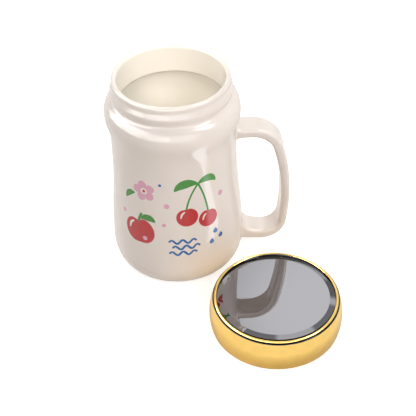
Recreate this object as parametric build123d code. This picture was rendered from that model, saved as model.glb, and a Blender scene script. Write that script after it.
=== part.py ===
from build123d import *
import os
from math import cos, radians, sin, tan

# Lidded mug: a slip-cast ceramic mug with a strap handle, and its push-on lid with a mirror in the top.
# Millimetres, +Z up. The origin is on the mug's axis at its foot. The handle points along +X.
# The lid is off: it lies on the same surface in front of the mug, mirror upwards.

# Mug, radii: the bore of the mouth, and how far each ring stands out from the one before it
MOUTH_R = 31.4
LIP_WALL = 3.0
BEAD_RISE = 1.2
RECESS_DEPTH = 0.2
SHOULDER_STEP = 5.65
WAIST_DRAW = 2.5
FLARE_RISE = 1.0
BELLY_SWELL = 3.65
FOOT_DRAW = 6.5

# Mug, heights: from the foot up to the rim, one stretch on the other
BELLY_HEIGHT = 14.0
BELLY_TO_WAIST = 65.0
WAIST_TO_SHOULDER = 27.8
SHOULDER_RISE = 9.9
NECK_HEIGHT = 13.3

# Mug, neck detail: depths below the rim, and the roundings
LIP_CROWN = 1.8
RECESS_DROP = 3.7
BEAD_DROP = 8.0
FLARE_DROP = 8.0
CREASE_ROUND = 2.2
MOUTH_DEPTH = 18.0
MOUTH_EDGE_ROUND = 1.5

# Mug, walls and foot
WALL = 4.0
FLOOR = 5.0
FLOOR_ROUND = 12.0
FOOT_RING_WIDTH = 4.4
FOOT_RECESS = 1.6

# Handle: a strap along +X, by the middle line of its side view.
# KNEE_EASE is the share of the room between the other two bends that the long bend at the knee takes.
STRAP_WIDTH = 15.4
STRAP_TOP = 6.4
STRAP_FOOT = 5.1
STRAP_ROUND = 2.3
HANDLE_BELOW_RIM = 39.5
HANDLE_ABOVE_FOOT = 8.3
HANDLE_FOOT_RISE = 1.7
FINGER_ROOM = 29.4
KNEE_HEIGHT = 49.7
TOP_LEAN = 9.6
FOOT_LEAN = 4.5
TOP_BEND_R = 17.2
FOOT_BEND_R = 12.9
KNEE_EASE = 0.81

# Handle, roots: their depth in the mug, the swell and flares beside the mug, and the seam of slip
ROOT_DEPTH = 1.3
ROOT_PLUG = 12.0
ROOT_RISE = 8.0
ROOT_SWELL = 3.1
FLARE_R_TOP = 4.2
FLARE_R_FOOT = 11.3
LUTE_SEAM = 0.04

# Lid, from the mug's neck outwards, then from the skirt's foot inwards to the mirror
SKIRT_CLEARANCE = 1.5
SKIRT_WALL = 1.3
BARREL_BULGE = 1.0
BARREL_TOP_DRAW = 1.0
POCKET_LIP = 0.7
POCKET_GAP = 0.05
BEZEL_WIDTH = 1.6
MIRROR_GAP = 0.15
PAD_MARGIN = 2.5
BEVEL_WIDTH = 3.4
BEVEL_DROP = 0.9

# Lid, heights: from the skirt's foot up to the bezel, one layer on the other
SKIRT_GAP = 0.7
LINER_FLANGE = 1.4
DECK_THICKNESS = 1.5
PAD_THICKNESS = 0.8
MIRROR_THICKNESS = 2.5
MIRROR_SINK = 0.8
BEZEL_PROUD = 1.3
BASE_EDGE_ROUND = 0.5
LIP_EDGE_ROUND = 0.3
BEZEL_ROUND = 0.7

# Lid, plug and seal
LINER_GAP = 0.2
PLUG_CLEARANCE = 0.6
PLUG_WALL = 3.0
PLUG_LIFT = 3.0
GROOVE_LIFT = 3.0
GROOVE_HEIGHT = 3.0
GROOVE_DEPTH = 1.3
SEAL_GAP = 0.05
SEAL_SQUEEZE = 0.3
SEAL_LIP = 0.7

# Lid, place: its clear distance from the mug, and its bearing from +X
LID_GAP = 10.7
LID_BEARING = -52.9

# Mug radii and heights that follow
rim_r = MOUTH_R + LIP_WALL
lip_mid_r = MOUTH_R + LIP_WALL / 2
bead_r = rim_r + BEAD_RISE
recess_r = rim_r - RECESS_DEPTH
shoulder_r = rim_r + SHOULDER_STEP
waist_r = shoulder_r - WAIST_DRAW
flare_r = waist_r + FLARE_RISE
belly_r = waist_r + BELLY_SWELL
foot_r = belly_r - FOOT_DRAW

waist_z = BELLY_HEIGHT + BELLY_TO_WAIST
shoulder_z = waist_z + WAIST_TO_SHOULDER
flare_z = shoulder_z - FLARE_DROP
neck_z = shoulder_z + SHOULDER_RISE
rim_z = neck_z + NECK_HEIGHT
lip_z = rim_z - LIP_CROWN
mouth_edge_z = rim_z - MOUTH_DEPTH
floor_z = FOOT_RECESS + FLOOR

# Lid radii and heights that follow
skirt_in_r = bead_r + SKIRT_CLEARANCE
skirt_r = skirt_in_r + SKIRT_WALL
barrel_r = skirt_r + BARREL_BULGE
barrel_top_r = skirt_r - BARREL_TOP_DRAW
pocket_r = barrel_top_r - POCKET_LIP
bezel_r = pocket_r - POCKET_GAP
bezel_in_r = bezel_r - BEZEL_WIDTH
mirror_r = bezel_in_r - MIRROR_GAP

seat_z = NECK_HEIGHT + SKIRT_GAP
deck_z = seat_z + LINER_FLANGE
pad_z = deck_z + DECK_THICKNESS
mirror_z = pad_z + PAD_THICKNESS
mirror_top_z = mirror_z + MIRROR_THICKNESS
lid_z = mirror_top_z + MIRROR_SINK
barrel_top_z = lid_z - BEZEL_PROUD

plug_r = MOUTH_R - PLUG_CLEARANCE
groove_r = plug_r - GROOVE_DEPTH
groove_z = PLUG_LIFT + GROOVE_LIFT
groove_top_z = groove_z + GROOVE_HEIGHT

lid_distance = belly_r + barrel_r + LID_GAP
LID_PLACE = Pos(lid_distance * cos(radians(LID_BEARING)), lid_distance * sin(radians(LID_BEARING)), 0)

UP = (0, 1)


def turned(*edges):
    """Solid turned about Z from the edges of a closed outline, given as radius and height."""
    outline = make_face(Curve() + list(edges))
    return revolve(Plane.XZ * outline, Axis.Z)


def turned_polygon(*points):
    """Solid turned about Z from the corners of an outline with straight sides."""
    return turned(Polyline(*points, close=True))


def quarter(center, across, up, start):
    """Quarter of an ellipse about center, by its two radii, from the start angle."""
    return EllipticalCenterArc(center, across, up, start, arc_size=90)


def rings_at(solid, radius, height):
    """The round edges of a turned solid at one radius and height."""
    found = solid.edges().filter_by(GeomType.CIRCLE)
    return [e for e in found if abs(e.radius - radius) < 0.01 and abs(e.center().Z - height) < 0.01]


def mug_form(skin=0.0):
    """The mug's outside as one filled solid, from its foot to its lip, with every radius grown by skin."""
    foot, belly, waist, flare, shoulder = (r + skin for r in (foot_r, belly_r, waist_r, flare_r, shoulder_r))
    recess, rim, bead, lip_mid = (r + skin for r in (recess_r, rim_r, bead_r, lip_mid_r))
    form = turned(
        Line((0, 0), (foot, 0)),
        quarter((foot, BELLY_HEIGHT), FOOT_DRAW, BELLY_HEIGHT, 270),
        Spline((belly, BELLY_HEIGHT), (waist, waist_z), tangents=[UP, UP]),
        Spline((waist, waist_z), (flare, flare_z), (shoulder, shoulder_z), tangents=[UP, UP]),
        quarter((rim, shoulder_z), SHOULDER_STEP, SHOULDER_RISE, 0),
        Spline(
            (rim, neck_z),
            (bead, rim_z - BEAD_DROP),
            (recess, rim_z - RECESS_DROP),
            (rim, lip_z),
            tangents=[UP, UP, UP, UP],
        ),
        quarter((lip_mid, lip_z), LIP_WALL / 2, LIP_CROWN, 0),
        Line((lip_mid, rim_z), (0, rim_z)),
        Line((0, rim_z), (0, 0)),
    )
    return fillet(rings_at(form, rim, neck_z), CREASE_ROUND)


def mug_cavity():
    """The space inside the mug: the lip's inner half, the neck's bore, and the body a wall in."""
    inner_shoulder_r = shoulder_r - WALL
    inner_belly_r = belly_r - WALL
    inner_belly_z = floor_z + FLOOR_ROUND
    return turned(
        Line((0, rim_z), (lip_mid_r, rim_z)),
        quarter((lip_mid_r, lip_z), LIP_WALL / 2, LIP_CROWN, 90),
        Line((MOUTH_R, lip_z), (MOUTH_R, mouth_edge_z)),
        quarter((MOUTH_R, flare_z), inner_shoulder_r - MOUTH_R, mouth_edge_z - flare_z, 0),
        Spline((inner_shoulder_r, flare_z), (waist_r - WALL, waist_z), tangents=[(0, -1), (0, -1)]),
        Spline((waist_r - WALL, waist_z), (inner_belly_r, inner_belly_z), tangents=[(0, -1), (0, -1)]),
        quarter((inner_belly_r - FLOOR_ROUND, inner_belly_z), FLOOR_ROUND, FLOOR_ROUND, 270),
        Line((inner_belly_r - FLOOR_ROUND, floor_z), (0, floor_z)),
        Line((0, floor_z), (0, rim_z)),
    )


def make_mug_body():
    """Ceramic shell with a recess inside its foot ring and a softened edge under its neck."""
    foot_in_r = foot_r - FOOT_RING_WIDTH
    recess = turned_polygon(
        (0, 0), (foot_in_r, 0), (foot_in_r - FOOT_RECESS, FOOT_RECESS), (0, FOOT_RECESS)
    )
    shell = mug_form() - mug_cavity() - recess
    return fillet(rings_at(shell, MOUTH_R, mouth_edge_z), MOUTH_EDGE_ROUND)


def sidestep(corners, distances):
    """The corners of a chain of lines, all but the two ends, each moved to the left by its distance."""
    moved = []
    for before, corner, after, distance in zip(corners, corners[1:], corners[2:], distances):
        left_in = (corner - before).normalized().rotate(Axis.Z, 90)
        left_out = (after - corner).normalized().rotate(Axis.Z, 90)
        moved.append(corner + (left_in + left_out) * (distance / (1 + left_in.dot(left_out))))
    return moved


def bend_run(before, corner, after, radius):
    """The length of line that a bend of this radius takes up on each side of a corner."""
    return radius * tan(radians((corner - before).get_angle(after - corner) / 2))


def make_handle():
    """Strap round the fingers with its edges rounded, flared at the roots and cut to the mug's surface."""
    half_top = STRAP_TOP / 2
    half_foot = STRAP_FOOT / 2
    top_z = rim_z - HANDLE_BELOW_RIM
    knee_x = waist_r + FINGER_ROOM + half_foot
    top_root = Vector(waist_r - ROOT_DEPTH, top_z)
    top_bend = Vector(knee_x - TOP_LEAN, top_z)
    knee = Vector(knee_x, KNEE_HEIGHT)
    foot_bend = Vector(knee_x - FOOT_LEAN, HANDLE_ABOVE_FOOT)
    foot_root = Vector(belly_r - ROOT_DEPTH, HANDLE_ABOVE_FOOT + HANDLE_FOOT_RISE)
    plug_across = Vector(ROOT_PLUG, 0)
    plug_along = (foot_root - foot_bend).normalized() * ROOT_PLUG
    middle = [top_root - plug_across, top_root, top_bend, knee, foot_bend, foot_root, foot_root + plug_along]
    middle.append(middle[-1] + plug_along)

    room_above = (knee - top_bend).length - bend_run(top_root, top_bend, knee, TOP_BEND_R)
    room_below = (foot_bend - knee).length - bend_run(knee, foot_bend, foot_root, FOOT_BEND_R)
    knee_bend_r = KNEE_EASE * min(room_above, room_below) / bend_run(top_bend, knee, foot_bend, 1)

    outside = sidestep(middle, [half_top, half_top, half_foot, half_foot, half_foot, half_foot])
    inside = sidestep(middle, [-half_top, -half_top, -half_foot, -half_foot, -half_foot - ROOT_SWELL])
    plug_top = outside[0] + Vector(0, ROOT_RISE)
    outline = FilletPolyline(
        *outside,
        plug_top - plug_across,
        plug_top,
        radius=[
            FLARE_R_TOP, TOP_BEND_R + half_top, knee_bend_r + half_foot, FOOT_BEND_R + half_foot, 0, 0, 0, 0
        ],
        close=True,
    )
    loop = FilletPolyline(
        *inside,
        radius=[
            FLARE_R_TOP, TOP_BEND_R - half_top, knee_bend_r - half_foot, FOOT_BEND_R - half_foot, FLARE_R_FOOT
        ],
        close=True,
    )
    side = make_face(outline) - make_face(loop)
    strap = extrude(Plane.XZ * side, STRAP_WIDTH / 2, both=True)
    strap = fillet(strap.faces().filter_by(Axis.Y).edges(), STRAP_ROUND)
    return strap - mug_form(LUTE_SEAM)


def make_lid_shell():
    """Barrel-shaped skirt with a deck across it and a pocket above the deck for the mirror."""
    shell = turned(
        Polyline(
            (barrel_top_r, barrel_top_z),
            (pocket_r, barrel_top_z),
            (pocket_r, pad_z),
            (0, pad_z),
            (0, deck_z),
            (skirt_in_r, deck_z),
            (skirt_in_r, 0),
            (skirt_r, 0),
        ),
        ThreePointArc((skirt_r, 0), (barrel_r, lid_z / 2), (barrel_top_r, barrel_top_z)),
    )
    shell = fillet(rings_at(shell, skirt_r, 0), BASE_EDGE_ROUND)
    lip = rings_at(shell, barrel_top_r, barrel_top_z) + rings_at(shell, pocket_r, barrel_top_z)
    return fillet(lip, LIP_EDGE_ROUND)


def make_mirror_bezel():
    """Gold ring that stands on the deck round the mirror, with a rounded top."""
    ring = turned_polygon(
        (bezel_in_r, pad_z), (bezel_r, pad_z), (bezel_r, lid_z), (bezel_in_r, lid_z)
    )
    return fillet(rings_at(ring, bezel_in_r, lid_z) + rings_at(ring, bezel_r, lid_z), BEZEL_ROUND)


def make_mirror():
    """Glass disc with a wide bevel."""
    return turned_polygon(
        (0, mirror_z),
        (mirror_r, mirror_z),
        (mirror_r, mirror_top_z - BEVEL_DROP),
        (mirror_r - BEVEL_WIDTH, mirror_top_z),
        (0, mirror_top_z),
    )


def make_mirror_pad():
    """Round of foam tape between the deck and the mirror."""
    pad_r = mirror_r - PAD_MARGIN
    return turned_polygon((0, pad_z), (pad_r, pad_z), (pad_r, mirror_z), (0, mirror_z))


def make_lid_liner():
    """Flange under the deck, and a hollow plug below it with a groove for the seal."""
    flange_r = skirt_in_r - LINER_GAP
    plug_in_r = plug_r - PLUG_WALL
    return turned_polygon(
        (0, deck_z),
        (flange_r, deck_z),
        (flange_r, seat_z),
        (plug_r, seat_z),
        (plug_r, groove_top_z),
        (groove_r, groove_top_z),
        (groove_r, groove_z),
        (plug_r, groove_z),
        (plug_r, PLUG_LIFT),
        (plug_in_r, PLUG_LIFT),
        (plug_in_r, seat_z),
        (0, seat_z),
    )


def make_seal_ring():
    """Silicone band in the plug's groove, with two lips that press on the mug's bore."""
    band_r = groove_r + SEAL_GAP
    lip_r = MOUTH_R + SEAL_SQUEEZE
    low = groove_z + SEAL_GAP
    high = groove_top_z - SEAL_GAP
    return turned_polygon(
        (band_r, low),
        (plug_r, low),
        (lip_r, low + SEAL_LIP),
        (plug_r, low + 2 * SEAL_LIP),
        (plug_r, high - 2 * SEAL_LIP),
        (lip_r, high - SEAL_LIP),
        (plug_r, high),
        (band_r, high),
    )


mug_parts = {"mug_body": make_mug_body(), "handle": make_handle()}
lid_parts = {
    "lid_shell": make_lid_shell(),
    "mirror_bezel": make_mirror_bezel(),
    "mirror": make_mirror(),
    "mirror_pad": make_mirror_pad(),
    "lid_liner": make_lid_liner(),
    "seal_ring": make_seal_ring(),
}

os.makedirs("parts", exist_ok=True)
for name, solid in mug_parts.items():
    export_step(solid, f"parts/{name}.step")
for name, solid in lid_parts.items():
    export_step(LID_PLACE * solid, f"parts/{name}.step")
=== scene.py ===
"""A tall lidded mug with its mirror lid lying beside it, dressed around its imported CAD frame, in metres."""
import logging
from dataclasses import dataclass
from enum import Enum
from math import atan, cos, pi, radians, sin
from typing import Any

import bpy
import numpy as np
from mathutils import Matrix, Vector


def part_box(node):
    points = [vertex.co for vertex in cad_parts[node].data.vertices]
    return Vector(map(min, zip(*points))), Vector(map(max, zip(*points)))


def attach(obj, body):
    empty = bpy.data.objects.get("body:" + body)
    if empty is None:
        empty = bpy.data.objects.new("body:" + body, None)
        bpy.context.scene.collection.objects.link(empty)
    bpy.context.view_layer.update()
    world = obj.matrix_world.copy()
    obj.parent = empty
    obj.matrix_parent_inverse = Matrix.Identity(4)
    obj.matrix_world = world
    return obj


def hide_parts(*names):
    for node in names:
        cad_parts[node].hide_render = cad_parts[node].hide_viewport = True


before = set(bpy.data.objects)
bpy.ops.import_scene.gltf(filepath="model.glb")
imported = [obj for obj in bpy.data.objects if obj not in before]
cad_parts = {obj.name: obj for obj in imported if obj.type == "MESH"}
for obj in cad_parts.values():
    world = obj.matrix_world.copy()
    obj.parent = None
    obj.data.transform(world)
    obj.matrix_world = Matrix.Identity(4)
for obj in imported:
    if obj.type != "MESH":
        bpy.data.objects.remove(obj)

log = logging.getLogger("lidded_mug")
MM = 0.001
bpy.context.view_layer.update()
LID_MIDDLE = (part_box("mirror")[0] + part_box("mirror")[1]) / 2
Array = np.ndarray
Colour = tuple[float, float, float, float]
Place = tuple[float, float, float]
Span = tuple[float, float]
WHITE: Colour = (1.0, 1.0, 1.0, 1.0)
CLEAR_GLAZE_IOR = 1.5

# Inputs of the Map Range and Mix nodes by their places, because some of their names repeat
FROM_LOW, FROM_HIGH, TO_LOW, TO_HIGH = RANGE = (1, 2, 3, 4)
VALUE_A, VALUE_B, COLOUR_A, COLOUR_B = 2, 3, 6, 7
# Nearly all of a noise texture's values lie between these two
NOISE = {FROM_LOW: 0.3, FROM_HIGH: 0.7}


# Helpers for colours, nodes and meshes

def linear(hex_colour: str) -> Colour:
    """Turns an sRGB hex colour into linear red, green, blue and alpha.

    Args:
        hex_colour: The colour as "#RRGGBB".

    Returns:
        Four numbers from 0 to 1, with alpha 1.
    """
    srgb = np.array([int(hex_colour[i:i + 2], 16) for i in (1, 3, 5)]) / 255
    rgb = np.where(srgb <= 0.04045, srgb / 12.92, ((srgb + 0.055) / 1.055) ** 2.4)
    return (*map(float, rgb), 1.0)


def add(tree: bpy.types.NodeTree, kind: str, inputs: dict[Any, Any] | None = None,
        **settings: Any) -> bpy.types.Node:
    """Adds one node with its settings, socket values and links.

    Args:
        tree: The node tree that the node goes into.
        kind: The node's type, such as "ShaderNodeTexNoise".
        inputs: For each input, by its name or place, a value or an output socket to link.
        settings: The node's own attributes, such as operation.

    Returns:
        The new node.
    """
    node = tree.nodes.new(kind)
    for name, value in settings.items():
        setattr(node, name, value)
    for key, value in (inputs or {}).items():
        if isinstance(value, bpy.types.NodeSocket):
            tree.links.new(value, node.inputs[key])
        else:
            node.inputs[key].default_value = value
    return node


def aim(bearing: float, rise: float) -> Vector:
    """Gives the direction at a bearing from +X and a rise above the floor, both in degrees."""
    turn, lift = radians(bearing), radians(rise)
    return Vector((cos(turn) * cos(lift), sin(turn) * cos(lift), sin(lift)))


def per_metre(size_mm: float) -> float:
    """Gives the texture scale at which one feature is size_mm across on Object coordinates."""
    return 1 / (size_mm * MM)


def sideways(along: Array) -> Array:
    """Gives the unit vector to the left of each flat direction."""
    across = np.stack([-along[:, 1], along[:, 0]], -1)
    return across / np.linalg.norm(across, axis=1, keepdims=True)


def tube(rings: Array) -> tuple[Array, Array, Array]:
    """Joins a row of closed rings into one closed surface.

    Neighbouring rings are joined by quads, and a fan to the mean of the first and of the last ring
    closes the ends. The faces are turned over if the volume that they enclose comes out negative.

    Args:
        rings: An array of (stations, points in a ring, 3).

    Returns:
        The points, the quads as rows of four point numbers, and the fans as rows of three.
    """
    stations, count, _ = rings.shape
    hub = stations * count
    points = np.concatenate([rings.reshape(-1, 3), rings[0].mean(0)[None], rings[-1].mean(0)[None]])
    index = np.arange(hub).reshape(stations, count)
    onward = np.roll(index, -1, axis=1)
    quads = np.stack([index[:-1], onward[:-1], onward[1:], index[1:]], -1).reshape(-1, 4)
    first = np.stack([onward[0], index[0], np.full(count, hub)], -1)
    last = np.stack([index[-1], onward[-1], np.full(count, hub + 1)], -1)
    fans = np.concatenate([first, last])
    triangles = np.concatenate([fans, quads[:, [0, 1, 2]], quads[:, [0, 2, 3]]])
    a, b, c = (points[triangles[:, i]] for i in range(3))
    if np.einsum("ij,ij->i", a, np.cross(b, c)).sum() < 0:
        quads, fans = quads[:, ::-1], fans[:, ::-1]
    return points, quads, fans


def make_piece(name: str, shells: list[Array], material: bpy.types.Material, body: str,
               crease: float = 35.0) -> bpy.types.Object:
    """Makes one piece out of closed shells and lets it ride on a body.

    Args:
        name: The piece's name.
        shells: One array of rings in metres for each shell, as tube() takes them.
        material: Its material.
        body: The CAD body that it moves with.
        crease: Edges that turn by more than this, in degrees, stay sharp.

    Returns:
        The piece.
    """
    points: list[Array] = []
    quads: list[Array] = []
    fans: list[Array] = []
    start = 0
    for rings in shells:
        shell_points, shell_quads, shell_fans = tube(rings)
        points.append(shell_points)
        quads.append(shell_quads + start)
        fans.append(shell_fans + start)
        start += len(shell_points)
    faces = np.concatenate(quads).tolist() + np.concatenate(fans).tolist()
    mesh = bpy.data.meshes.new(name)
    mesh.from_pydata(np.concatenate(points).tolist(), [], faces)
    mesh.shade_smooth()
    mesh.set_sharp_from_angle(angle=radians(crease))
    mesh.materials.append(material)
    piece = bpy.data.objects.new(name, mesh)
    bpy.context.scene.collection.objects.link(piece)
    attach(piece, body)
    log.info("%s: %d faces, rides on %s", name, len(faces), body)
    return piece


def dress(node: str, material: bpy.types.Material) -> None:
    """Gives a CAD node its finish.

    Args:
        node: The node's name.
        material: Its new material.
    """
    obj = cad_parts[node]
    for place in obj.material_slots:
        place.material = material
    log.info("%s: %s", node, material.name)


# Finishes

@dataclass(frozen=True)
class Finish:
    """What every finish has: a name, a colour, a roughness, and a shader to work on.

    Attributes:
        name: The real material, and how its surface was made.
        colour: Its sRGB hex colour.
        rough: The shader's roughness.
        rough_span: Between which shares of it the roughness wanders.
    """

    name: str
    colour: str
    rough: float
    rough_span: Span = (1.0, 1.0)

    def start(self, **sockets: Any) -> tuple[bpy.types.Material, bpy.types.Node, bpy.types.NodeSocket]:
        """Makes the material with its principled shader.

        Args:
            sockets: Values for the shader's sockets, with _ for a space in their names.

        Returns:
            The material, its shader, and its Object coordinates.
        """
        material = bpy.data.materials.new(self.name)
        material.use_nodes = True
        tree = material.node_tree
        shader = tree.nodes["Principled BSDF"]
        shader.inputs["Base Color"].default_value = linear(self.colour)
        shader.inputs["Roughness"].default_value = self.rough
        for name, value in sockets.items():
            shader.inputs[name.replace("_", " ")].default_value = value
        return material, shader, add(tree, "ShaderNodeTexCoord").outputs["Object"]

    def rough_ends(self) -> dict[int, float]:
        """Gives the two roughnesses for a Map Range node to go between."""
        low, high = self.rough_span
        return {TO_LOW: low * self.rough, TO_HIGH: min(1.0, high * self.rough)}

    def material(self) -> bpy.types.Material:
        """Builds the material, which each finish does in its own way."""
        raise NotImplementedError


@dataclass(frozen=True)
class Zone:
    """A ring about the lid's axis, in mm: its middle radius and height, and half its width and depth."""

    radius: float
    half_width: float
    height: float
    half_height: float

    def mask(self, tree: bpy.types.NodeTree, place: bpy.types.NodeSocket) -> bpy.types.NodeSocket:
        """Gives 1 inside the ring and 0 outside it.

        Args:
            tree: The material's node tree.
            place: Its Object coordinates.

        Returns:
            The socket with the mask.
        """
        away = add(tree, "ShaderNodeVectorMath", {0: place, 1: LID_MIDDLE}, operation="SUBTRACT")
        level = add(tree, "ShaderNodeVectorMath", {0: away.outputs[0], 1: (1, 1, 0)}, operation="MULTIPLY")
        out = add(tree, "ShaderNodeVectorMath", {0: level.outputs[0]}, operation="LENGTH")
        up = add(tree, "ShaderNodeSeparateXYZ", {0: place})
        near = add(tree, "ShaderNodeMath", {
            0: out.outputs["Value"], 1: self.radius * MM, 2: self.half_width * MM}, operation="COMPARE")
        within = add(tree, "ShaderNodeMath", {
            0: up.outputs["Z"], 1: self.height * MM, 2: self.half_height * MM}, operation="COMPARE")
        both = add(tree, "ShaderNodeMath", {0: near.outputs[0], 1: within.outputs[0]}, operation="MULTIPLY")
        return both.outputs[0]


# Painted shade on the lid: rings drawn black where shade falls, in the groove round the bezel and on the
# bezel's inner wall and foot
GROOVE_SHADE = Zone(36.95, 0.55, 19.5, 0.6)
BEZEL_WALL_SHADE = Zone(34.9, 0.45, 18.9, 1.85)
BEZEL_FOOT_SHADE = Zone(36.7, 0.3, 18.9, 1.5)


@dataclass(frozen=True)
class GlazedPorcelain(Finish):
    """Slip-cast porcelain under a clear dipped glaze, with its foot ring wiped clean of it.

    Attributes:
        pooled: The colour in the soft clouds where the glaze lies thicker.
        inside: The colour inside the mug, painted light: brighter and creamier than the outside, for the
            light that gathers in it.
        biscuit, biscuit_rough: The colour and roughness of the bare foot ring.
        ripple_mm, ripple_height_mm: The size and height of the glaze's ripples.
        cloud_mm: The size of the clouds.
        wiped_mm: How high the foot is wiped, and wiped_from the share of it that is wiped quite clean.
        inside_r_mm: The radius within which a surface can be the mug's inside.
        lip_out_mm: Where the inside ends on the lip, as the radius times the outward share of its direction.
    """

    rough_span: Span = (0.7, 1.3)
    pooled: str = "#EFE6DB"
    inside: str = "#FFFAF1"
    biscuit: str = "#E6DCCE"
    biscuit_rough: float = 0.75
    ripple_mm: float = 7.0
    ripple_height_mm: float = 0.012
    cloud_mm: float = 22.0
    wiped_mm: float = 0.7
    wiped_from: float = 0.6
    inside_r_mm: float = 37.5
    lip_out_mm: float = 4.0

    def material(self) -> bpy.types.Material:
        """Builds it: a deep even gloss that wavers a little, as a fired glaze does, and a matt foot ring.

        Returns:
            The material.
        """
        material, shader, place = self.start(IOR=CLEAR_GLAZE_IOR)
        tree = material.node_tree
        cloud = add(tree, "ShaderNodeTexNoise", {
            "Vector": place, "Scale": per_metre(self.cloud_mm), "Detail": 3.0}).outputs["Fac"]
        tint = add(tree, "ShaderNodeMix", {
            "Factor": cloud, COLOUR_A: linear(self.colour), COLOUR_B: linear(self.pooled)}, data_type="RGBA")
        level = add(tree, "ShaderNodeVectorMath", {0: place, 1: (1, 1, 0)}, operation="MULTIPLY")
        out = add(tree, "ShaderNodeVectorMath", {0: level.outputs[0]}, operation="LENGTH")
        near = add(tree, "ShaderNodeMath", {
            0: out.outputs["Value"], 1: self.inside_r_mm * MM}, operation="LESS_THAN")
        normal = add(tree, "ShaderNodeNewGeometry").outputs["Normal"]
        facing = add(tree, "ShaderNodeVectorMath", {0: level.outputs[0], 1: normal}, operation="DOT_PRODUCT")
        inward = add(tree, "ShaderNodeMath", {
            0: facing.outputs["Value"], 1: self.lip_out_mm * MM}, operation="LESS_THAN")
        within = add(tree, "ShaderNodeMath", {0: near.outputs[0], 1: inward.outputs[0]}, operation="MULTIPLY")
        # Painted light: inside the mug the glaze is drawn in the brighter, creamier inside colour.
        glaze_with_lit_inside = add(tree, "ShaderNodeMix", {
            "Factor": within.outputs[0], COLOUR_A: tint.outputs[2], COLOUR_B: linear(self.inside)},
            data_type="RGBA")
        height = add(tree, "ShaderNodeSeparateXYZ", {0: place}).outputs["Z"]
        glazed = add(tree, "ShaderNodeMapRange", {
            "Value": height, FROM_LOW: self.wiped_from * self.wiped_mm * MM, FROM_HIGH: self.wiped_mm * MM})
        colour = add(tree, "ShaderNodeMix", {
            "Factor": glazed.outputs[0], COLOUR_A: linear(self.biscuit), COLOUR_B: glaze_with_lit_inside.outputs[2]},
            data_type="RGBA")
        haze = add(tree, "ShaderNodeMapRange", {"Value": cloud, **NOISE, **self.rough_ends()})
        rough = add(tree, "ShaderNodeMix", {
            "Factor": glazed.outputs[0], VALUE_A: self.biscuit_rough, VALUE_B: haze.outputs[0]})
        ripple = add(tree, "ShaderNodeTexNoise", {
            "Vector": place, "Scale": per_metre(self.ripple_mm), "Detail": 1.0})
        bump = add(tree, "ShaderNodeBump", {
            "Height": ripple.outputs["Fac"], "Distance": self.ripple_height_mm * MM})
        tree.links.new(colour.outputs[2], shader.inputs["Base Color"])
        tree.links.new(rough.outputs[0], shader.inputs["Roughness"])
        tree.links.new(bump.outputs[0], shader.inputs["Normal"])
        return material


@dataclass(frozen=True)
class OverglazeInk(Finish):
    """Screen-printed overglaze colour, fired on.

    Attributes:
        grain_mm, grain_height_mm: The size and height of the print's grain.
        mottle: How far the colour wanders with it, as a share.
    """

    rough_span: Span = (0.8, 1.25)
    grain_mm: float = 0.5
    grain_height_mm: float = 0.003
    mottle: float = 0.10

    def material(self) -> bpy.types.Material:
        """Builds it: a flat bright colour, a little duller than the glaze, with the screen's faint mottle.

        Returns:
            The material.
        """
        material, shader, place = self.start(IOR=CLEAR_GLAZE_IOR)
        tree = material.node_tree
        grain = add(tree, "ShaderNodeTexNoise", {
            "Vector": place, "Scale": per_metre(self.grain_mm), "Detail": 2.0}).outputs["Fac"]
        depth = add(tree, "ShaderNodeMapRange", {
            "Value": grain, **NOISE, TO_LOW: 1 - self.mottle, TO_HIGH: 1 + self.mottle})
        colour = add(tree, "ShaderNodeVectorMath", {0: linear(self.colour)[:3], "Scale": depth.outputs[0]},
                     operation="SCALE")
        rough = add(tree, "ShaderNodeMapRange", {"Value": grain, **NOISE, **self.rough_ends()})
        bump = add(tree, "ShaderNodeBump", {"Height": grain, "Distance": self.grain_height_mm * MM})
        tree.links.new(colour.outputs[0], shader.inputs["Base Color"])
        tree.links.new(rough.outputs[0], shader.inputs["Roughness"])
        tree.links.new(bump.outputs[0], shader.inputs["Normal"])
        return material


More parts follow.
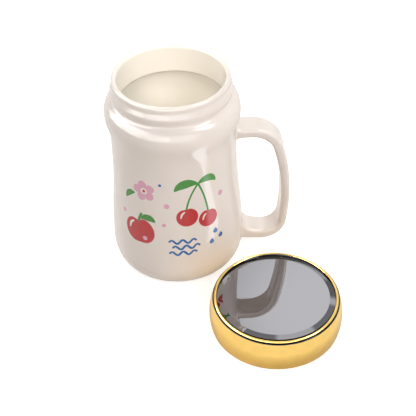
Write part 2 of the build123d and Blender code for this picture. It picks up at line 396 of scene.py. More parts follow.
@dataclass(frozen=True)
class GoldPlate(Finish):
    """Gold-coloured plating on moulded plastic, with painted shade drawn black in its narrow grooves.

    Attributes:
        painted_shade: The rings where painted shade is drawn black over the plating, at least one.
        shade_colour: The painted shade's colour.
        wave_mm, wave_height_mm: The size and height of the moulding's waves.
        tone: How far the colour wanders with them, as a share.
        hairline_mm, hairline_run: The width of a polishing hairline, and its width over its length.
    """

    rough_span: Span = (0.75, 1.35)
    painted_shade: tuple[Zone, ...] = (GROOVE_SHADE,)
    shade_colour: str = "#161310"
    wave_mm: float = 5.0
    wave_height_mm: float = 0.008
    tone: float = 0.03
    hairline_mm: float = 0.35
    hairline_run: float = 0.12

    def material(self) -> bpy.types.Material:
        """Builds it: a warm metal mirror, softened by faint waves and level hairlines, with painted shade
        drawn black in its grooves.

        Returns:
            The material.
        """
        material, shader, place = self.start()
        tree = material.node_tree
        wave = add(tree, "ShaderNodeTexNoise", {
            "Vector": place, "Scale": per_metre(self.wave_mm), "Detail": 1.0}).outputs["Fac"]
        lie = add(tree, "ShaderNodeMapping", {
            "Vector": place, "Scale": (self.hairline_run, self.hairline_run, 1.0)})
        hair = add(tree, "ShaderNodeTexNoise", {
            "Vector": lie.outputs[0], "Scale": per_metre(self.hairline_mm), "Detail": 2.0}).outputs["Fac"]
        rough = add(tree, "ShaderNodeMapRange", {"Value": hair, **NOISE, **self.rough_ends()})
        tone = add(tree, "ShaderNodeMapRange", {
            "Value": wave, **NOISE, TO_LOW: 1 - self.tone, TO_HIGH: 1 + self.tone})
        plated = add(tree, "ShaderNodeVectorMath", {0: linear(self.colour)[:3], "Scale": tone.outputs[0]},
                     operation="SCALE")
        # Painted shade: inside these rings the colour is drawn black and not metallic, where shade falls in
        # the grooves.
        painted_shade, *others = [zone.mask(tree, place) for zone in self.painted_shade]
        for mask in others:
            painted_shade = add(tree, "ShaderNodeMath", {0: painted_shade, 1: mask}, operation="MAXIMUM").outputs[0]
        colour = add(tree, "ShaderNodeMix", {
            "Factor": painted_shade, COLOUR_A: plated.outputs[0], COLOUR_B: linear(self.shade_colour)},
            data_type="RGBA")
        metal = add(tree, "ShaderNodeMath", {0: 1.0, 1: painted_shade}, operation="SUBTRACT")
        bump = add(tree, "ShaderNodeBump", {"Height": wave, "Distance": self.wave_height_mm * MM})
        tree.links.new(colour.outputs[2], shader.inputs["Base Color"])
        tree.links.new(metal.outputs[0], shader.inputs["Metallic"])
        tree.links.new(rough.outputs[0], shader.inputs["Roughness"])
        tree.links.new(bump.outputs[0], shader.inputs["Normal"])
        return material


@dataclass(frozen=True)
class SilveredGlass(Finish):
    """A smoked glass mirror, bevelled, with backing paint on its edge.

    It is silvered on its back, which isn't quite parallel to its face, so it mirrors as if leant a little
    further.

    Attributes:
        edge, paint: Where the backing paint shows, and its colour.
        wedge_deg: How far its back is out of parallel.
        smear_mm: The size of the smears in its gloss.
        smear_span: The noise values between which a smear fades in.
    """

    rough_span: Span = (0.5, 1.8)
    edge: Zone = Zone(35.2, 0.42, 19.5, 4.0)
    paint: str = "#1B1A1A"
    wedge_deg: float = 1.6
    smear_mm: float = 9.0
    smear_span: Span = (0.35, 0.7)

    def material(self) -> bpy.types.Material:
        """Builds it: a dark clear mirror, with the faintest wiping smears in its gloss and a black edge.

        Returns:
            The material.
        """
        material, shader, place = self.start(Metallic=1.0)
        tree = material.node_tree
        colour = add(tree, "ShaderNodeMix", {
            "Factor": self.edge.mask(tree, place), COLOUR_A: linear(self.colour),
            COLOUR_B: linear(self.paint)}, data_type="RGBA")
        face = add(tree, "ShaderNodeNewGeometry").outputs["Normal"]
        back = add(tree, "ShaderNodeVectorMath", {0: face, 1: (0, sin(radians(self.wedge_deg)), 0)},
                   operation="ADD")
        silver = add(tree, "ShaderNodeVectorMath", {0: back.outputs[0]}, operation="NORMALIZE")
        smear = add(tree, "ShaderNodeTexNoise", {
            "Vector": place, "Scale": per_metre(self.smear_mm), "Detail": 4.0}).outputs["Fac"]
        rough = add(tree, "ShaderNodeMapRange", {
            "Value": smear, FROM_LOW: self.smear_span[0], FROM_HIGH: self.smear_span[1], **self.rough_ends()})
        tree.links.new(colour.outputs[2], shader.inputs["Base Color"])
        tree.links.new(silver.outputs[0], shader.inputs["Normal"])
        tree.links.new(rough.outputs[0], shader.inputs["Roughness"])
        return material


@dataclass(frozen=True)
class MouldedPolymer(Finish):
    """Moulded plastic, silicone or foam: one colour with a fine moulded grain.

    Attributes:
        grain_mm, grain_height_mm: The size and height of the grain.
        tone: How far the colour wanders with it, as a share.
    """

    rough_span: Span = (0.85, 1.15)
    grain_mm: float = 0.6
    grain_height_mm: float = 0.01
    tone: float = 0.03

    def material(self) -> bpy.types.Material:
        """Builds it: a soft sheen broken by the mould's grain.

        Returns:
            The material.
        """
        material, shader, place = self.start()
        tree = material.node_tree
        grain = add(tree, "ShaderNodeTexNoise", {
            "Vector": place, "Scale": per_metre(self.grain_mm), "Detail": 3.0}).outputs["Fac"]
        rough = add(tree, "ShaderNodeMapRange", {"Value": grain, **NOISE, **self.rough_ends()})
        tone = add(tree, "ShaderNodeMapRange", {
            "Value": grain, **NOISE, TO_LOW: 1 - self.tone, TO_HIGH: 1 + self.tone})
        colour = add(tree, "ShaderNodeVectorMath", {0: linear(self.colour)[:3], "Scale": tone.outputs[0]},
                     operation="SCALE")
        bump = add(tree, "ShaderNodeBump", {"Height": grain, "Distance": self.grain_height_mm * MM})
        tree.links.new(colour.outputs[0], shader.inputs["Base Color"])
        tree.links.new(rough.outputs[0], shader.inputs["Roughness"])
        tree.links.new(bump.outputs[0], shader.inputs["Normal"])
        return material


PORCELAIN = GlazedPorcelain("porcelain_glazed", "#FAF2ED", 0.035, pooled="#F7EEE8")
BARREL_GOLD = GoldPlate("abs_gold_plated_satin", "#F6D17B", 0.13)
BEZEL_GOLD = GoldPlate("abs_gold_plated_bright", "#F6D17B", 0.07, painted_shade=(BEZEL_WALL_SHADE, BEZEL_FOOT_SHADE),
                       wave_height_mm=0.003)
MIRROR = SilveredGlass("smoked_glass_silvered", "#8E8D90", 0.012)
LINER = MouldedPolymer("polypropylene_moulded", "#EFEEEA", 0.38)
SEAL = MouldedPolymer("silicone_moulded", "#E6E5DF", 0.5)
FOAM = MouldedPolymer("foam_tape_die_cut", "#262626", 0.9, grain_mm=0.8, grain_height_mm=0.06)


class Ink(Enum):
    """The inks of the print, each with its finish."""

    RED = OverglazeInk("overglaze_red", "#CC3A3D", 0.18)
    GREEN = OverglazeInk("overglaze_green", "#4C9A45", 0.18)
    PINK = OverglazeInk("overglaze_pink", "#EDB4CD", 0.18)
    BLUE = OverglazeInk("overglaze_blue", "#2F70B8", 0.18)
    WHITE = OverglazeInk("overglaze_white", "#FAF6F0", 0.18)


# The mug

# How far above the glaze each coat of ink lies, and how deep its underside is buried, in mm
FIRST_COAT, SECOND_COAT, THIRD_COAT, LAST_COAT = 0.05, 0.08, 0.10, 0.11
BURIED = 0.12


class Outline(Enum):
    """Outlines of a blot, as a radius over the angle, with 1 the blot's size."""

    ROUND = "round"
    CHERRY = "cherry"
    APPLE = "apple"
    BLOSSOM = "blossom"
    DROP = "drop"

    def radius(self, angle: Array) -> Array:
        """Gives the outline's radius at each angle.

        A cherry is a circle with a dimple at the top, an apple is wider with a dimple at top and bottom, a
        blossom has five lobes, and a drop is drawn out at the top.

        Args:
            angle: Angles in radians, with the top at a quarter turn.

        Returns:
            The radii.
        """
        top = np.exp(-((angle - pi / 2) / 0.42) ** 2)
        foot = np.exp(-((angle - 1.5 * pi) / 0.45) ** 2)
        return {
            Outline.ROUND: np.ones_like(angle),
            Outline.CHERRY: 1 - 0.13 * top,
            Outline.APPLE: 1 + 0.05 * np.abs(np.cos(angle)) - 0.22 * top - 0.10 * foot,
            Outline.BLOSSOM: 0.62 + 0.38 * np.abs(np.cos(2.5 * (angle - pi / 2))) ** 0.7,
            Outline.DROP: 1 + 0.75 * np.exp(-np.abs(angle - pi / 2) / 0.30),
        }[self]


@dataclass(frozen=True)
class Skin:
    """The mug's outside, on which a place is (mm round it to the right of the front, mm above its foot)."""

    heights: Array
    radii: Array
    front: float = radians(-90)
    unroll_mm: float = 38.5

    def radius(self, height_mm: Array) -> Array:
        """Gives the outside radius in mm at each height."""
        return np.interp(height_mm, self.heights, self.radii)

    def wrap(self, flat: Array, lift_mm: Array) -> Array:
        """Wraps flat places round the mug.

        The angle is the run along the skin over one nominal radius, and the radius is the mug's own at that
        height plus the lift.

        Args:
            flat: Places as (..., 2), in mm.
            lift_mm: How far above the glaze each one lies.

        Returns:
            Points as (..., 3), in metres.
        """
        angle = self.front + flat[..., 0] / self.unroll_mm
        radius = self.radius(flat[..., 1]) + lift_mm
        return np.stack([radius * np.cos(angle), radius * np.sin(angle), flat[..., 1]], -1) * MM


@dataclass(frozen=True)
class Blot:
    """A closed patch of ink about a centre, in mm on the skin.

    Attributes:
        ink: Its ink.
        centre: Where its middle is.
        size: Its radius.
        outline: Its shape.
        turn: How far it is turned, in degrees.
        lift: Its coat's height.
        spokes, steps: How many points it has round it, and how many rings.
        hub: The innermost ring's size, as a share.
    """

    ink: Ink
    centre: Span
    size: float
    outline: Outline = Outline.ROUND
    turn: float = 0.0
    lift: float = FIRST_COAT
    spokes: int = 96
    steps: int = 10
    hub: float = 0.04

    def rings(self, skin: Skin) -> Array:
        """Gives the patch's rings: from its middle out to the outline on top, and back in underneath.

        Point = centre + share of the outline's radius at the angle, turned, with the share going from the
        hub's to 1 and back.

        Args:
            skin: What it is printed on.

        Returns:
            Rings in metres.
        """
        angle = np.linspace(0, 2 * pi, self.spokes, endpoint=False)
        out = np.linspace(self.hub, 1, self.steps)
        share = np.concatenate([out, out[::-1]])[:, None]
        lift = np.repeat([self.lift, -BURIED], self.steps)[:, None]
        reach = self.size * share * self.outline.radius(angle)[None]
        facing = angle + radians(self.turn)
        x, y = self.centre[0] + reach * np.cos(facing), self.centre[1] + reach * np.sin(facing)
        return skin.wrap(np.stack([x, y], -1), np.broadcast_to(lift, reach.shape))


@dataclass(frozen=True)
class Stroke:
    """A brushed line of ink from start to end, drawn towards a bend, in mm on the skin.

    Attributes:
        ink: Its ink.
        start, bend, end: The points that guide it.
        half_width: Half its width where it is widest.
        tips: Half its width at its start and at its end.
        swell: How soon it widens: a smaller power is a blunter line.
        waves, wave_height: How many waves it has, and how far they go to each side.
        lift: Its coat's height.
        stations, columns: How many points it has along it, and across it.
    """

    ink: Ink
    start: Span
    bend: Span
    end: Span
    half_width: float
    tips: Span = (0.3, 0.3)
    swell: float = 0.6
    waves: float = 0.0
    wave_height: float = 0.0
    lift: float = FIRST_COAT
    stations: int = 56
    columns: int = 7

    def rings(self, skin: Skin) -> Array:
        """Gives the line's cross-sections along its way.

        The way is the quadratic curve of start, bend and end, with a sine wave across it where the line has
        waves. The half width goes from one tip's to the other's, plus a swell of sin(pi t) to a power.

        Args:
            skin: What it is printed on.

        Returns:
            Rings in metres.
        """
        t = np.linspace(0, 1, self.stations)[:, None]
        p, q, r = (np.array(v, float)[None] for v in (self.start, self.bend, self.end))
        way = (1 - t) ** 2 * p + 2 * t * (1 - t) * q + t ** 2 * r
        along = 2 * (1 - t) * (q - p) + 2 * t * (r - q)
        way = way + sideways(along) * self.wave_height * np.sin(2 * pi * self.waves * t)
        across = sideways(np.gradient(way, axis=0))
        tips = self.tips[0] + (self.tips[1] - self.tips[0]) * t
        half = tips + (self.half_width - tips) * np.sin(pi * t) ** self.swell
        over = np.linspace(-1, 1, self.columns)
        side = np.concatenate([over, over[::-1]])
        lift = np.repeat([self.lift, -BURIED], self.columns)
        flat = way[:, None] + across[:, None] * (half * side)[..., None]
        return skin.wrap(flat, np.broadcast_to(lift, flat.shape[:2]))


@dataclass
class Mug:
    """The mug: its glazed body and handle, the slip at the handle's roots, and the fruit print.

    Attributes:
        strap_half: Half the handle strap's width, in mm.
        roots: The heights between which the upper and the lower root's sides meet the mug, in mm.
        slip_r, slip_least: The radius that each root's slip fillet gains, and what it starts from, in mm.
        slip_swell: How soon the fillet swells: a smaller power is a blunter end.
        slip_bury: How deep the fillet's back is buried, in mm.
        slip_stations, slip_steps: How many points the fillet has up its length, and across it.
        wall_least_r, wall_top: A level of the body is on its outside wall if its radius is over the one and
            its height is under the other, in mm.
    """

    strap_half: float = 7.7
    roots: tuple[Span, Span] = ((86.2, 95.2), (7.6, 20.0))
    slip_r: float = 1.2
    slip_least: float = 0.15
    slip_swell: float = 0.6
    slip_bury: float = 0.35
    slip_stations: int = 40
    slip_steps: int = 12
    wall_least_r: float = 37.4
    wall_top: float = 106.0

    def skin(self) -> Skin:
        """Reads the outside from the CAD body's points: at each level, the largest distance from the axis.

        Returns:
            The outside, over the levels of the wall.
        """
        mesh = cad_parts["mug_body"].data
        points = np.empty(len(mesh.vertices) * 3, np.float32)
        mesh.vertices.foreach_get("co", points)
        points = points.reshape(-1, 3).astype(float) / MM
        radius = np.hypot(points[:, 0], points[:, 1])
        steps = np.round(points[:, 2], 2)
        levels = np.unique(steps)
        outer = np.zeros(len(levels))
        np.maximum.at(outer, np.searchsorted(levels, steps), radius)
        wall = (outer > self.wall_least_r) & (levels < self.wall_top)
        return Skin(levels[wall], outer[wall])

    def cherries(self) -> list[Blot | Stroke]:
        """Lays out the cherry pair: two fruits, their stems and leaves, and their glints.

        Returns:
            Its patches and lines of ink.
        """
        joint = (13.0, 78.0)
        return [
            Blot(Ink.RED, (5.5, 55.0), 6.6, Outline.CHERRY, 8),
            Blot(Ink.RED, (18.5, 51.0), 6.2, Outline.CHERRY, -8),
            Stroke(Ink.GREEN, (5.2, 60.6), (7.0, 70.0), joint, 0.55, (0.55, 0.7), lift=SECOND_COAT),
            Stroke(Ink.GREEN, (18.6, 56.2), (17.5, 68.0), joint, 0.55, (0.55, 0.7), lift=SECOND_COAT),
            Stroke(Ink.GREEN, joint, (4.0, 82.0), (-1.5, 74.5), 3.0, swell=0.8),
            Stroke(Ink.GREEN, joint, (21.0, 83.0), (25.0, 76.0), 2.5, swell=0.8),
            Stroke(Ink.WHITE, (1.7, 54.5), (1.9, 58.0), (4.3, 58.9), 0.6, lift=THIRD_COAT),
            Stroke(Ink.WHITE, (15.0, 50.4), (15.1, 53.6), (17.3, 54.6), 0.55, lift=THIRD_COAT),
        ]

    def apple_and_blossom(self) -> list[Blot | Stroke]:
        """Lays out the apple with its stem, leaf and glints, and the blossom with its leaf.

        Returns:
            Their patches and lines of ink.
        """
        blossom = (-20.5, 72.0)
        return [
            Blot(Ink.RED, (-24.5, 41.5), 9.6, Outline.APPLE, 6),
            Stroke(Ink.GREEN, (-24.8, 48.2), (-24.6, 52.0), (-22.6, 54.8), 0.65, (0.6, 0.85),
                   lift=SECOND_COAT),
            Stroke(Ink.GREEN, (-23.8, 51.0), (-17.5, 55.0), (-14.0, 50.5), 2.2, swell=0.8),
            Stroke(Ink.WHITE, (-31.2, 41.0), (-31.4, 45.6), (-28.2, 47.0), 0.8, lift=THIRD_COAT),
            Blot(Ink.PINK, (-20.6, 37.0), 1.5, lift=SECOND_COAT),
            Blot(Ink.PINK, blossom, 7.4, Outline.BLOSSOM, 12),
            Blot(Ink.WHITE, blossom, 2.2, lift=SECOND_COAT),
            Blot(Ink.RED, blossom, 1.0, lift=LAST_COAT),
            Stroke(Ink.GREEN, (-27.2, 68.2), (-32.5, 68.0), (-34.5, 62.0), 1.9, swell=0.8),
        ]

    def waves_and_dots(self) -> list[Blot | Stroke]:
        """Lays out three wavy lines, three drops and the loose dots.

        Returns:
            Their patches and lines of ink.
        """
        waves = [Stroke(Ink.BLUE, (x, y), (x + 8.0, y + 0.6), (x + 16.0, y), 0.7, (0.6, 0.6), waves=2.5,
                        wave_height=1.3) for x, y in ((-6.0, 37.0), (-4.0, 32.6), (-6.0, 28.2))]
        drops = [Blot(Ink.BLUE, spot, 1.5, Outline.DROP, -10)
                 for spot in ((22.5, 39.0), (26.0, 34.0), (19.6, 32.2))]
        dots = [
            Blot(Ink.PINK, (-6.5, 63.5), 1.7),
            Blot(Ink.PINK, (-8.5, 49.5), 1.3),
            Blot(Ink.PINK, (28.5, 64.5), 1.8),
            Blot(Ink.PINK, (-36.5, 51.0), 1.5),
            Blot(Ink.BLUE, (-10.0, 78.5), 1.0),
        ]
        return [*waves, *drops, *dots]

    def slip(self, skin: Skin, low: float, high: float, side: int) -> Array:
        """Gives the fillet of slip that fills the corner between one side of a root and the mug.

        At each height it is the circle that touches both the mug's circle, from outside, and the strap's
        side: its centre is (root of (R + f) squared less (w + f) squared, w + f), for mug radius R, fillet
        radius f and strap half width w. The arc between the two touching points is the surface, and the
        corner behind it is buried. The fillet radius swells from each end as a power of sin(pi t).

        Args:
            skin: The mug's outside.
            low: The height where it starts, in mm.
            high: The height where it ends, in mm.
            side: 1 for the +Y side, -1 for the -Y side.

        Returns:
            Rings in metres.
        """
        t = np.linspace(0, 1, self.slip_stations)[:, None]
        height = low + (high - low) * t
        mug = skin.radius(height)
        fillet = self.slip_least + self.slip_r * np.sin(pi * t) ** self.slip_swell
        across = self.strap_half + fillet
        out = np.sqrt((mug + fillet) ** 2 - across ** 2)
        to_axis, to_strap = np.arctan2(-across, -out) % (2 * pi), 1.5 * pi
        angle = to_axis + (to_strap - to_axis) * np.linspace(0, 1, self.slip_steps)[None]
        x, y = out + fillet * np.cos(angle), across + fillet * np.sin(angle)
        corner = np.sqrt(mug ** 2 - self.strap_half ** 2)
        inner = np.full_like(corner, self.strap_half - self.slip_bury)
        x = np.concatenate([x, x[:, -1:], corner - self.slip_bury, x[:, :1] - self.slip_bury], 1)
        y = np.concatenate([y, y[:, -1:] - self.slip_bury, inner, y[:, :1]], 1)
        return np.stack([x, side * y, np.broadcast_to(height, x.shape)], -1) * MM

    def build(self) -> None:
        """Dresses the body and handle, and adds the slip and the print."""
        porcelain = PORCELAIN.material()
        for node in ("mug_body", "handle"):
            dress(node, porcelain)
        skin = self.skin()
        fillets = [self.slip(skin, low, high, side) for low, high in self.roots for side in (1, -1)]
        make_piece("handle_slip", fillets, porcelain, "mug")
        motifs = [*self.cherries(), *self.apple_and_blossom(), *self.waves_and_dots()]
        for ink in Ink:
            shells = [motif.rings(skin) for motif in motifs if motif.ink is ink]
            make_piece(f"print_{ink.name.lower()}", shells, ink.value.material(), "mug")


# The lid

LID_FINISHES: dict[str, Finish] = {
    "lid_shell": BARREL_GOLD,
    "mirror_bezel": BEZEL_GOLD,
    "mirror_pad": FOAM,
    "lid_liner": LINER,
    "seal_ring": SEAL,
}


@dataclass
class MirrorLid:
    """The lid: a plated shell and bezel, the mirror and its pad, and the plug with its seal.

    Attributes:
        bevel_mm, bevel_drop_mm: The width of the mirror's bevel, and how far it falls.
        proud_mm: How far the middle of the mirror's face lies above the CAD mirror's.
        lean_deg: How far it leans.
        spokes: How many points it has round it.
        crease_deg: The turn above which its edges are sharp.
    """

    bevel_mm: float = 3.4
    bevel_drop_mm: float = 0.55
    proud_mm: float = 0.6
    lean_deg: float = 1.7
    spokes: int = 160
    crease_deg: float = 4.0

    def mirror_glass(self) -> Array:
        """Gives the bevelled disc that stands for the CAD mirror, lying a little askew on its foam pad.

        The face runs from its middle to the bevel's inner edge and down the bevel, is carried round the lid's
        axis, and is leant back about its middle. The side goes straight down from it to a flat underside at
        the CAD mirror's own.

        Returns:
            Rings in metres.
        """
        low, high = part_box("mirror")
        radius = (high.x - low.x) / 2
        face = radius - self.bevel_mm * MM
        hub, midway = 0.02 * face, 0.5 * face
        out = np.array([hub, midway, face, radius])[:, None]
        down = np.array([0, 0, 0, self.bevel_drop_mm * MM])[:, None]
        angle = np.linspace(0, 2 * pi, self.spokes, endpoint=False)[None]
        lean = radians(self.lean_deg)
        x, y = out * np.cos(angle), out * np.sin(angle)
        rise = self.proud_mm * MM - down * cos(lean) - y * sin(lean)
        top = np.stack([x, y * cos(lean) - down * sin(lean), rise], -1)
        under = top[[3, 1, 0]]
        under[..., 2] = low.z - high.z
        return np.concatenate([top, under]) + np.array([LID_MIDDLE.x, LID_MIDDLE.y, high.z])

    def build(self) -> None:
        """Dresses each CAD node of the lid, and lays the mirror."""
        for node, finish in LID_FINISHES.items():
            dress(node, finish.material())
        glass = make_piece("mirror_glass", [self.mirror_glass()], MIRROR.material(), "lid",
                           crease=self.crease_deg)
        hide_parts("mirror")


# The studio

# What a gloss-only light still throws from the plating on to matt surfaces, as a share
LATER_SHARE = 0.35


def first_sight(tree: bpy.types.NodeTree) -> bpy.types.NodeSocket:
    """Gives 1 on a ray's way until it has left a matt surface, and a small share after it.

    So what is there for gloss to show throws little light from the plating on to the mug.

    Args:
        tree: The node tree of a lamp, the floor or the world.

    Returns:
        The socket with the share.
    """
    depth = add(tree, "ShaderNodeLightPath").outputs["Diffuse Depth"]
    ends = dict(zip(RANGE, (0.0, 1.0, 1.0, LATER_SHARE)))
    return add(tree, "ShaderNodeMapRange", {"Value": depth, **ends}).outputs[0]


class Reach(Enum):
    """What a lamp reaches: every surface, matt ones alone, or gloss alone."""

    EVERY = "every"
    MATT = "matt"
    GLOSS = "gloss"


@dataclass(frozen=True)
class Lamp:
    """A soft lamp that faces the object, its width level with the floor.

    Attributes:
        name: Its name.
        place: Where its middle is, in metres.
        size: Its width and height, in metres.
        watts: Its power.
        colour: Its sRGB hex colour.
        reach: Which surfaces it lights.
    """

    name: str
    place: Place
    size: Span
    watts: float
    colour: str
    reach: Reach

    def build(self, target: Vector) -> None:
        """Hangs the lamp.

        Args:
            target: What it faces, in metres.
        """
        light = bpy.data.lights.new(self.name, "AREA")
        light.shape = "RECTANGLE"
        light.size, light.size_y = self.size
        light.energy = self.watts
        light.color = linear(self.colour)[:3]
        if self.reach is Reach.GLOSS:
            light.use_nodes = True
            tree = light.node_tree
            tree.nodes.clear()
            glow = add(tree, "ShaderNodeEmission", {"Color": WHITE, "Strength": first_sight(tree)})
            add(tree, "ShaderNodeOutputLight", {0: glow.outputs[0]})
        away = (Vector(self.place) - target).normalized()
        level = Vector((0, 0, 1)).cross(away).normalized()
        turn = Matrix((level, away.cross(level), away)).transposed().to_4x4()
        lamp = bpy.data.objects.new(self.name, light)
        lamp.matrix_world = Matrix.Translation(self.place) @ turn
        lamp.visible_diffuse = self.reach is not Reach.GLOSS
        lamp.visible_glossy = self.reach is not Reach.MATT
        bpy.context.scene.collection.objects.link(lamp)


@dataclass(frozen=True)
class MouthSpot:
    """The narrow lamp behind the camera that reaches down into the mug, and hardly anywhere else.

    Attributes:
        mouth: The middle of what it lights, in metres.
        bearing, rise: The direction that it stands in from there, in degrees.
        distance: How far off it is, in metres.
        reach: How far round the middle its light goes, in metres.
        blend: The share of its cone that fades out.
        soft: Its own radius, in metres. A larger one would spill over the neck.
        watts: Its power.
        colour: Its sRGB hex colour.
    """

    mouth: Place = (0.003, 0.022, 0.126)
    bearing: float = -102.0
    rise: float = 37.0
    distance: float = 0.9
    reach: float = 0.0345
    blend: float = 0.25
    soft: float = 0.008
    watts: float = 12.6
    colour: str = "#FFF8EC"

    def build(self) -> None:
        """Hangs the lamp, out of sight of gloss."""
        light = bpy.data.lights.new("inside_spot", "SPOT")
        light.energy = self.watts
        light.color = linear(self.colour)[:3]
        light.shadow_soft_size = self.soft
        light.spot_size = 2 * atan(self.reach / self.distance)
        light.spot_blend = self.blend
        away = aim(self.bearing, self.rise)
        turn = away.to_track_quat("Z", "Y").to_matrix().to_4x4()
        spot = bpy.data.objects.new("inside_spot", light)
        spot.matrix_world = Matrix.Translation(Vector(self.mouth) + self.distance * away) @ turn
        spot.visible_glossy = False
        bpy.context.scene.collection.objects.link(spot)


@dataclass(frozen=True)
class Sheet:
    """The floor: a white paper sheet that shows white where it is lit, and darker in the object's shadow.

    Attributes:
        half: Half its side, in metres.
        drop: How far it lies below the foot, in metres, so that no two faces share a plane.
        colour: The colour of the light that it throws back, as sRGB hex.
        seen_span, seen_glow: What the camera sees it give off: a level near the lid and one far away, and the
            distances from the lid's axis between which it goes from one to the other, in metres.
        gloss_span, gloss_glow: The same for what gloss sees of it, which has a painted shadow close under the
            lid.
    """

    half: float = 3.0
    drop: float = 0.0002
    colour: str = "#D3CFCB"
    seen_span: Span = (0.3, 0.9)
    seen_glow: Span = (0.66, 1.0)
    gloss_span: Span = (0.041, 0.056)
    gloss_glow: Span = (0.03, 0.38)

    def material(self) -> bpy.types.Material:
        """Builds its paper: matt and pale, with a glow that whitens it to the camera and a dim one to gloss.

        Returns:
            The material.
        """
        material = bpy.data.materials.new("white_sheet")
        material.use_nodes = True
        tree = material.node_tree
        tree.nodes.clear()
        path = add(tree, "ShaderNodeLightPath").outputs
        place = add(tree, "ShaderNodeTexCoord").outputs["Object"]
        axis = (LID_MIDDLE.x, LID_MIDDLE.y, 0)
        away = add(tree, "ShaderNodeVectorMath", {0: place, 1: axis}, operation="DISTANCE").outputs["Value"]
        # Painted shadow: what gloss sees of the sheet fades to dark close under the lid.
        in_gloss = add(tree, "ShaderNodeMapRange", {
            "Value": away, **dict(zip(RANGE, self.gloss_span + self.gloss_glow))})
        shiny = add(tree, "ShaderNodeMath", {0: path["Is Glossy Ray"], 1: first_sight(tree)},
                    operation="MULTIPLY")
        gloss = add(tree, "ShaderNodeMath", {0: shiny.outputs[0], 1: in_gloss.outputs[0]},
                    operation="MULTIPLY")
        seen = add(tree, "ShaderNodeMapRange", {
            "Value": away, **dict(zip(RANGE, self.seen_span + self.seen_glow))})
        lift = add(tree, "ShaderNodeMath", {
            0: path["Is Camera Ray"], 1: seen.outputs[0], 2: gloss.outputs[0]}, operation="MULTIPLY_ADD")
        matt = add(tree, "ShaderNodeBsdfDiffuse", {"Color": linear(self.colour)})
        glow = add(tree, "ShaderNodeEmission", {"Color": WHITE, "Strength": lift.outputs[0]})
        both = add(tree, "ShaderNodeAddShader", {0: matt.outputs[0], 1: glow.outputs[0]})
        add(tree, "ShaderNodeOutputMaterial", {0: both.outputs[0]})
        return material

    def build(self) -> None:
        """Lays the sheet."""
        corners = [(x * self.half, y * self.half, 0) for x, y in ((-1, -1), (1, -1), (1, 1), (-1, 1))]
        mesh = bpy.data.meshes.new("floor")
        mesh.from_pydata(corners, [], [(0, 1, 2, 3)])
        mesh.materials.append(self.material())
        floor = bpy.data.objects.new("floor", mesh)
        floor.location.z = -self.drop
        bpy.context.scene.collection.objects.link(floor)


@dataclass(frozen=True)
class Patch:
    """A soft-edged disc of the studio as gloss sees it.

    Attributes:
        bearing, rise: The direction of its middle, in degrees.
        inner, outer: How far from there it has its full level, and where it ends, in degrees.
        level: How bright it is, with 1 for white.
    """

    bearing: float
    rise: float
    inner: float
    outer: float
    level: float


# A dark space round the camera, a card beside the right softbox, and what the lid's mirror shows
PATCHES = (
    Patch(-91.0, 43.0, 24.0, 42.0, 0.12),
    Patch(-46.0, 50.0, 9.0, 14.0, 2.0),
    Patch(78.0, 47.0, 17.0, 20.0, 1.32),
    Patch(80.0, 40.0, 0.5, 5.5, 1.75),
    Patch(94.0, 59.0, 5.0, 7.0, 0.5),
    Patch(61.0, 46.0, 6.0, 8.0, 0.5),
    Patch(65.0, 31.0, 3.0, 6.0, 0.35),
)

LAMPS = (
    Lamp("left_strip", (-0.672, 0.313, 0.38), (0.3, 0.7), 1.6, "#FBFBFF", Reach.EVERY),
    Lamp("right_box", (0.467, -0.624, 0.729), (0.3, 0.3), 3.3, "#F8F8F6", Reach.MATT),
    Lamp("low_fill", (0.5664, -0.5764, 0.2671), (0.4, 0.3), 0.5, "#FFF1EC", Reach.MATT),
    Lamp("front_fill", (-0.0334, -0.6405, 0.5742), (0.4, 0.3), 0.52, "#FFEEE9", Reach.MATT),
    Lamp("right_sheen", (0.643, -0.307, 0.791), (0.34, 0.62), 8.4, "#FCFDFF", Reach.GLOSS),
    Lamp("front_sheen", (0.12, -0.745, 0.26), (0.6, 0.5), 3.2, "#FFFEFC", Reach.GLOSS),
    Lamp("front_left_sheen", (-0.34, -0.668, 0.26), (0.52, 0.5), 4.2, "#FFFEFC", Reach.GLOSS),
    Lamp("left_sheen", (-0.68, -0.317, 0.42), (0.5, 0.8), 8.8, "#FFFEFC", Reach.GLOSS),
    Lamp("back_left_sheen", (-0.739, 0.130, 0.42), (0.5, 0.8), 9.2, "#FFFEFC", Reach.GLOSS),
)


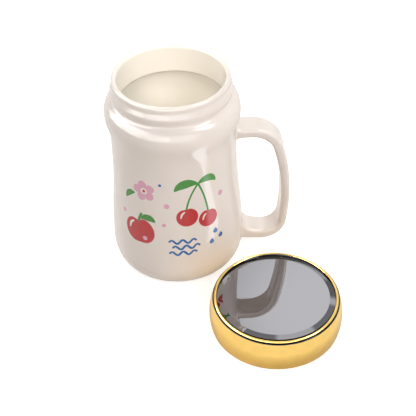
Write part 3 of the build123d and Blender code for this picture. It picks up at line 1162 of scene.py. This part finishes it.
@dataclass
class Studio:
    """The white floor, the lamps, the surroundings and the camera.

    Attributes:
        eye_mm: Where the camera stands.
        yaw, pitch, roll: How it is turned, in degrees: to the right, down, and about its own axis.
        lens, sensor: Its focal length and its sensor's width, in mm.
        near_clip: How close it sees, in metres.
        middle: What the lamps face, in metres.
        sky: The soft light's level away from its window and towards it.
        sky_bearing, sky_rise: The window's direction, in degrees.
        sky_span: The cosines of the angle to the window between which the soft light grows.
        sky_colour: Its sRGB hex colour.
    """

    eye_mm: Place = (0.0, -463.52, 428.01)
    yaw: float = 2.3937
    pitch: float = 40.7354
    roll: float = -1.4058
    lens: float = 83.03
    sensor: float = 36.0
    near_clip: float = 0.01
    middle: Place = (0.02, -0.03, 0.06)
    sky: Span = (0.0, 1.1)
    sky_bearing: float = 82.0
    sky_rise: float = 52.0
    sky_span: Span = (-0.5, 1.0)
    sky_colour: str = "#EFEEEA"

    def camera(self) -> None:
        """Sets up the camera where the photograph was taken from."""
        yaw, pitch, roll = map(radians, (self.yaw, self.pitch, self.roll))
        ahead = Vector((sin(yaw) * cos(pitch), cos(yaw) * cos(pitch), -sin(pitch)))
        right = Vector((cos(yaw), -sin(yaw), 0.0))
        up = right.cross(ahead)
        turned_right = cos(roll) * right + sin(roll) * up
        turned_up = cos(roll) * up - sin(roll) * right
        turn = Matrix((turned_right, turned_up, -ahead)).transposed().to_4x4()
        camera = bpy.data.cameras.new("camera")
        camera.lens = self.lens
        camera.sensor_width = self.sensor
        camera.clip_start = self.near_clip
        eye = bpy.data.objects.new("camera", camera)
        eye.matrix_world = Matrix.Translation(Vector(self.eye_mm) * MM) @ turn
        bpy.context.scene.collection.objects.link(eye)
        bpy.context.scene.camera = eye

    def surroundings(self) -> None:
        """Sets the world: white to the camera, a studio to gloss and glass, and a soft light to the rest.

        What gloss sees is white, with the patches laid over it in their order. The soft light grows towards a
        window high up behind the object.
        """
        world = bpy.data.worlds.new("studio")
        world.use_nodes = True
        bpy.context.scene.world = world
        tree = world.node_tree
        tree.nodes.clear()
        path = add(tree, "ShaderNodeLightPath").outputs
        way = add(tree, "ShaderNodeTexCoord").outputs["Generated"]
        level: Any = 1.0
        for patch in PATCHES:
            near = add(tree, "ShaderNodeVectorMath", {0: way, 1: aim(patch.bearing, patch.rise)},
                       operation="DOT_PRODUCT")
            share = add(tree, "ShaderNodeMapRange", {
                "Value": near.outputs["Value"], FROM_LOW: cos(radians(patch.outer)),
                FROM_HIGH: cos(radians(patch.inner))}, interpolation_type="SMOOTHSTEP")
            level = add(tree, "ShaderNodeMix", {
                "Factor": share.outputs[0], VALUE_A: level, VALUE_B: patch.level}).outputs[0]
        room = add(tree, "ShaderNodeBackground", {"Color": WHITE, "Strength": level})
        window = add(tree, "ShaderNodeVectorMath", {0: way, 1: aim(self.sky_bearing, self.sky_rise)},
                     operation="DOT_PRODUCT")
        ceiling = add(tree, "ShaderNodeMapRange", {
            "Value": window.outputs["Value"], **dict(zip(RANGE, self.sky_span + self.sky))})
        soft = add(tree, "ShaderNodeBackground", {
            "Color": linear(self.sky_colour), "Strength": ceiling.outputs[0]})
        white = add(tree, "ShaderNodeBackground", {"Color": WHITE, "Strength": 1.0})
        shiny = add(tree, "ShaderNodeMath", {0: path["Is Glossy Ray"], 1: path["Is Transmission Ray"]},
                    operation="MAXIMUM")
        seen = add(tree, "ShaderNodeMath", {0: shiny.outputs[0], 1: first_sight(tree)}, operation="MULTIPLY")
        lit = add(tree, "ShaderNodeMixShader", {0: seen.outputs[0], 1: soft.outputs[0], 2: room.outputs[0]})
        mix = add(tree, "ShaderNodeMixShader", {
            0: path["Is Camera Ray"], 1: lit.outputs[0], 2: white.outputs[0]})
        add(tree, "ShaderNodeOutputWorld", {0: mix.outputs[0]})

    def build(self) -> None:
        """Sets up the floor, the surroundings, the lamps and the camera."""
        Sheet().build()
        self.surroundings()
        for lamp in LAMPS:
            lamp.build(Vector(self.middle))
        MouthSpot().build()
        self.camera()
        bpy.context.scene.view_settings.view_transform = "Standard"


def main() -> None:
    """Builds the mug, the lid and the studio."""
    logging.basicConfig(level=logging.INFO, format="%(name)s: %(message)s")
    Mug().build()
    MirrorLid().build()
    Studio().build()


if __name__ == "__main__":
    main()
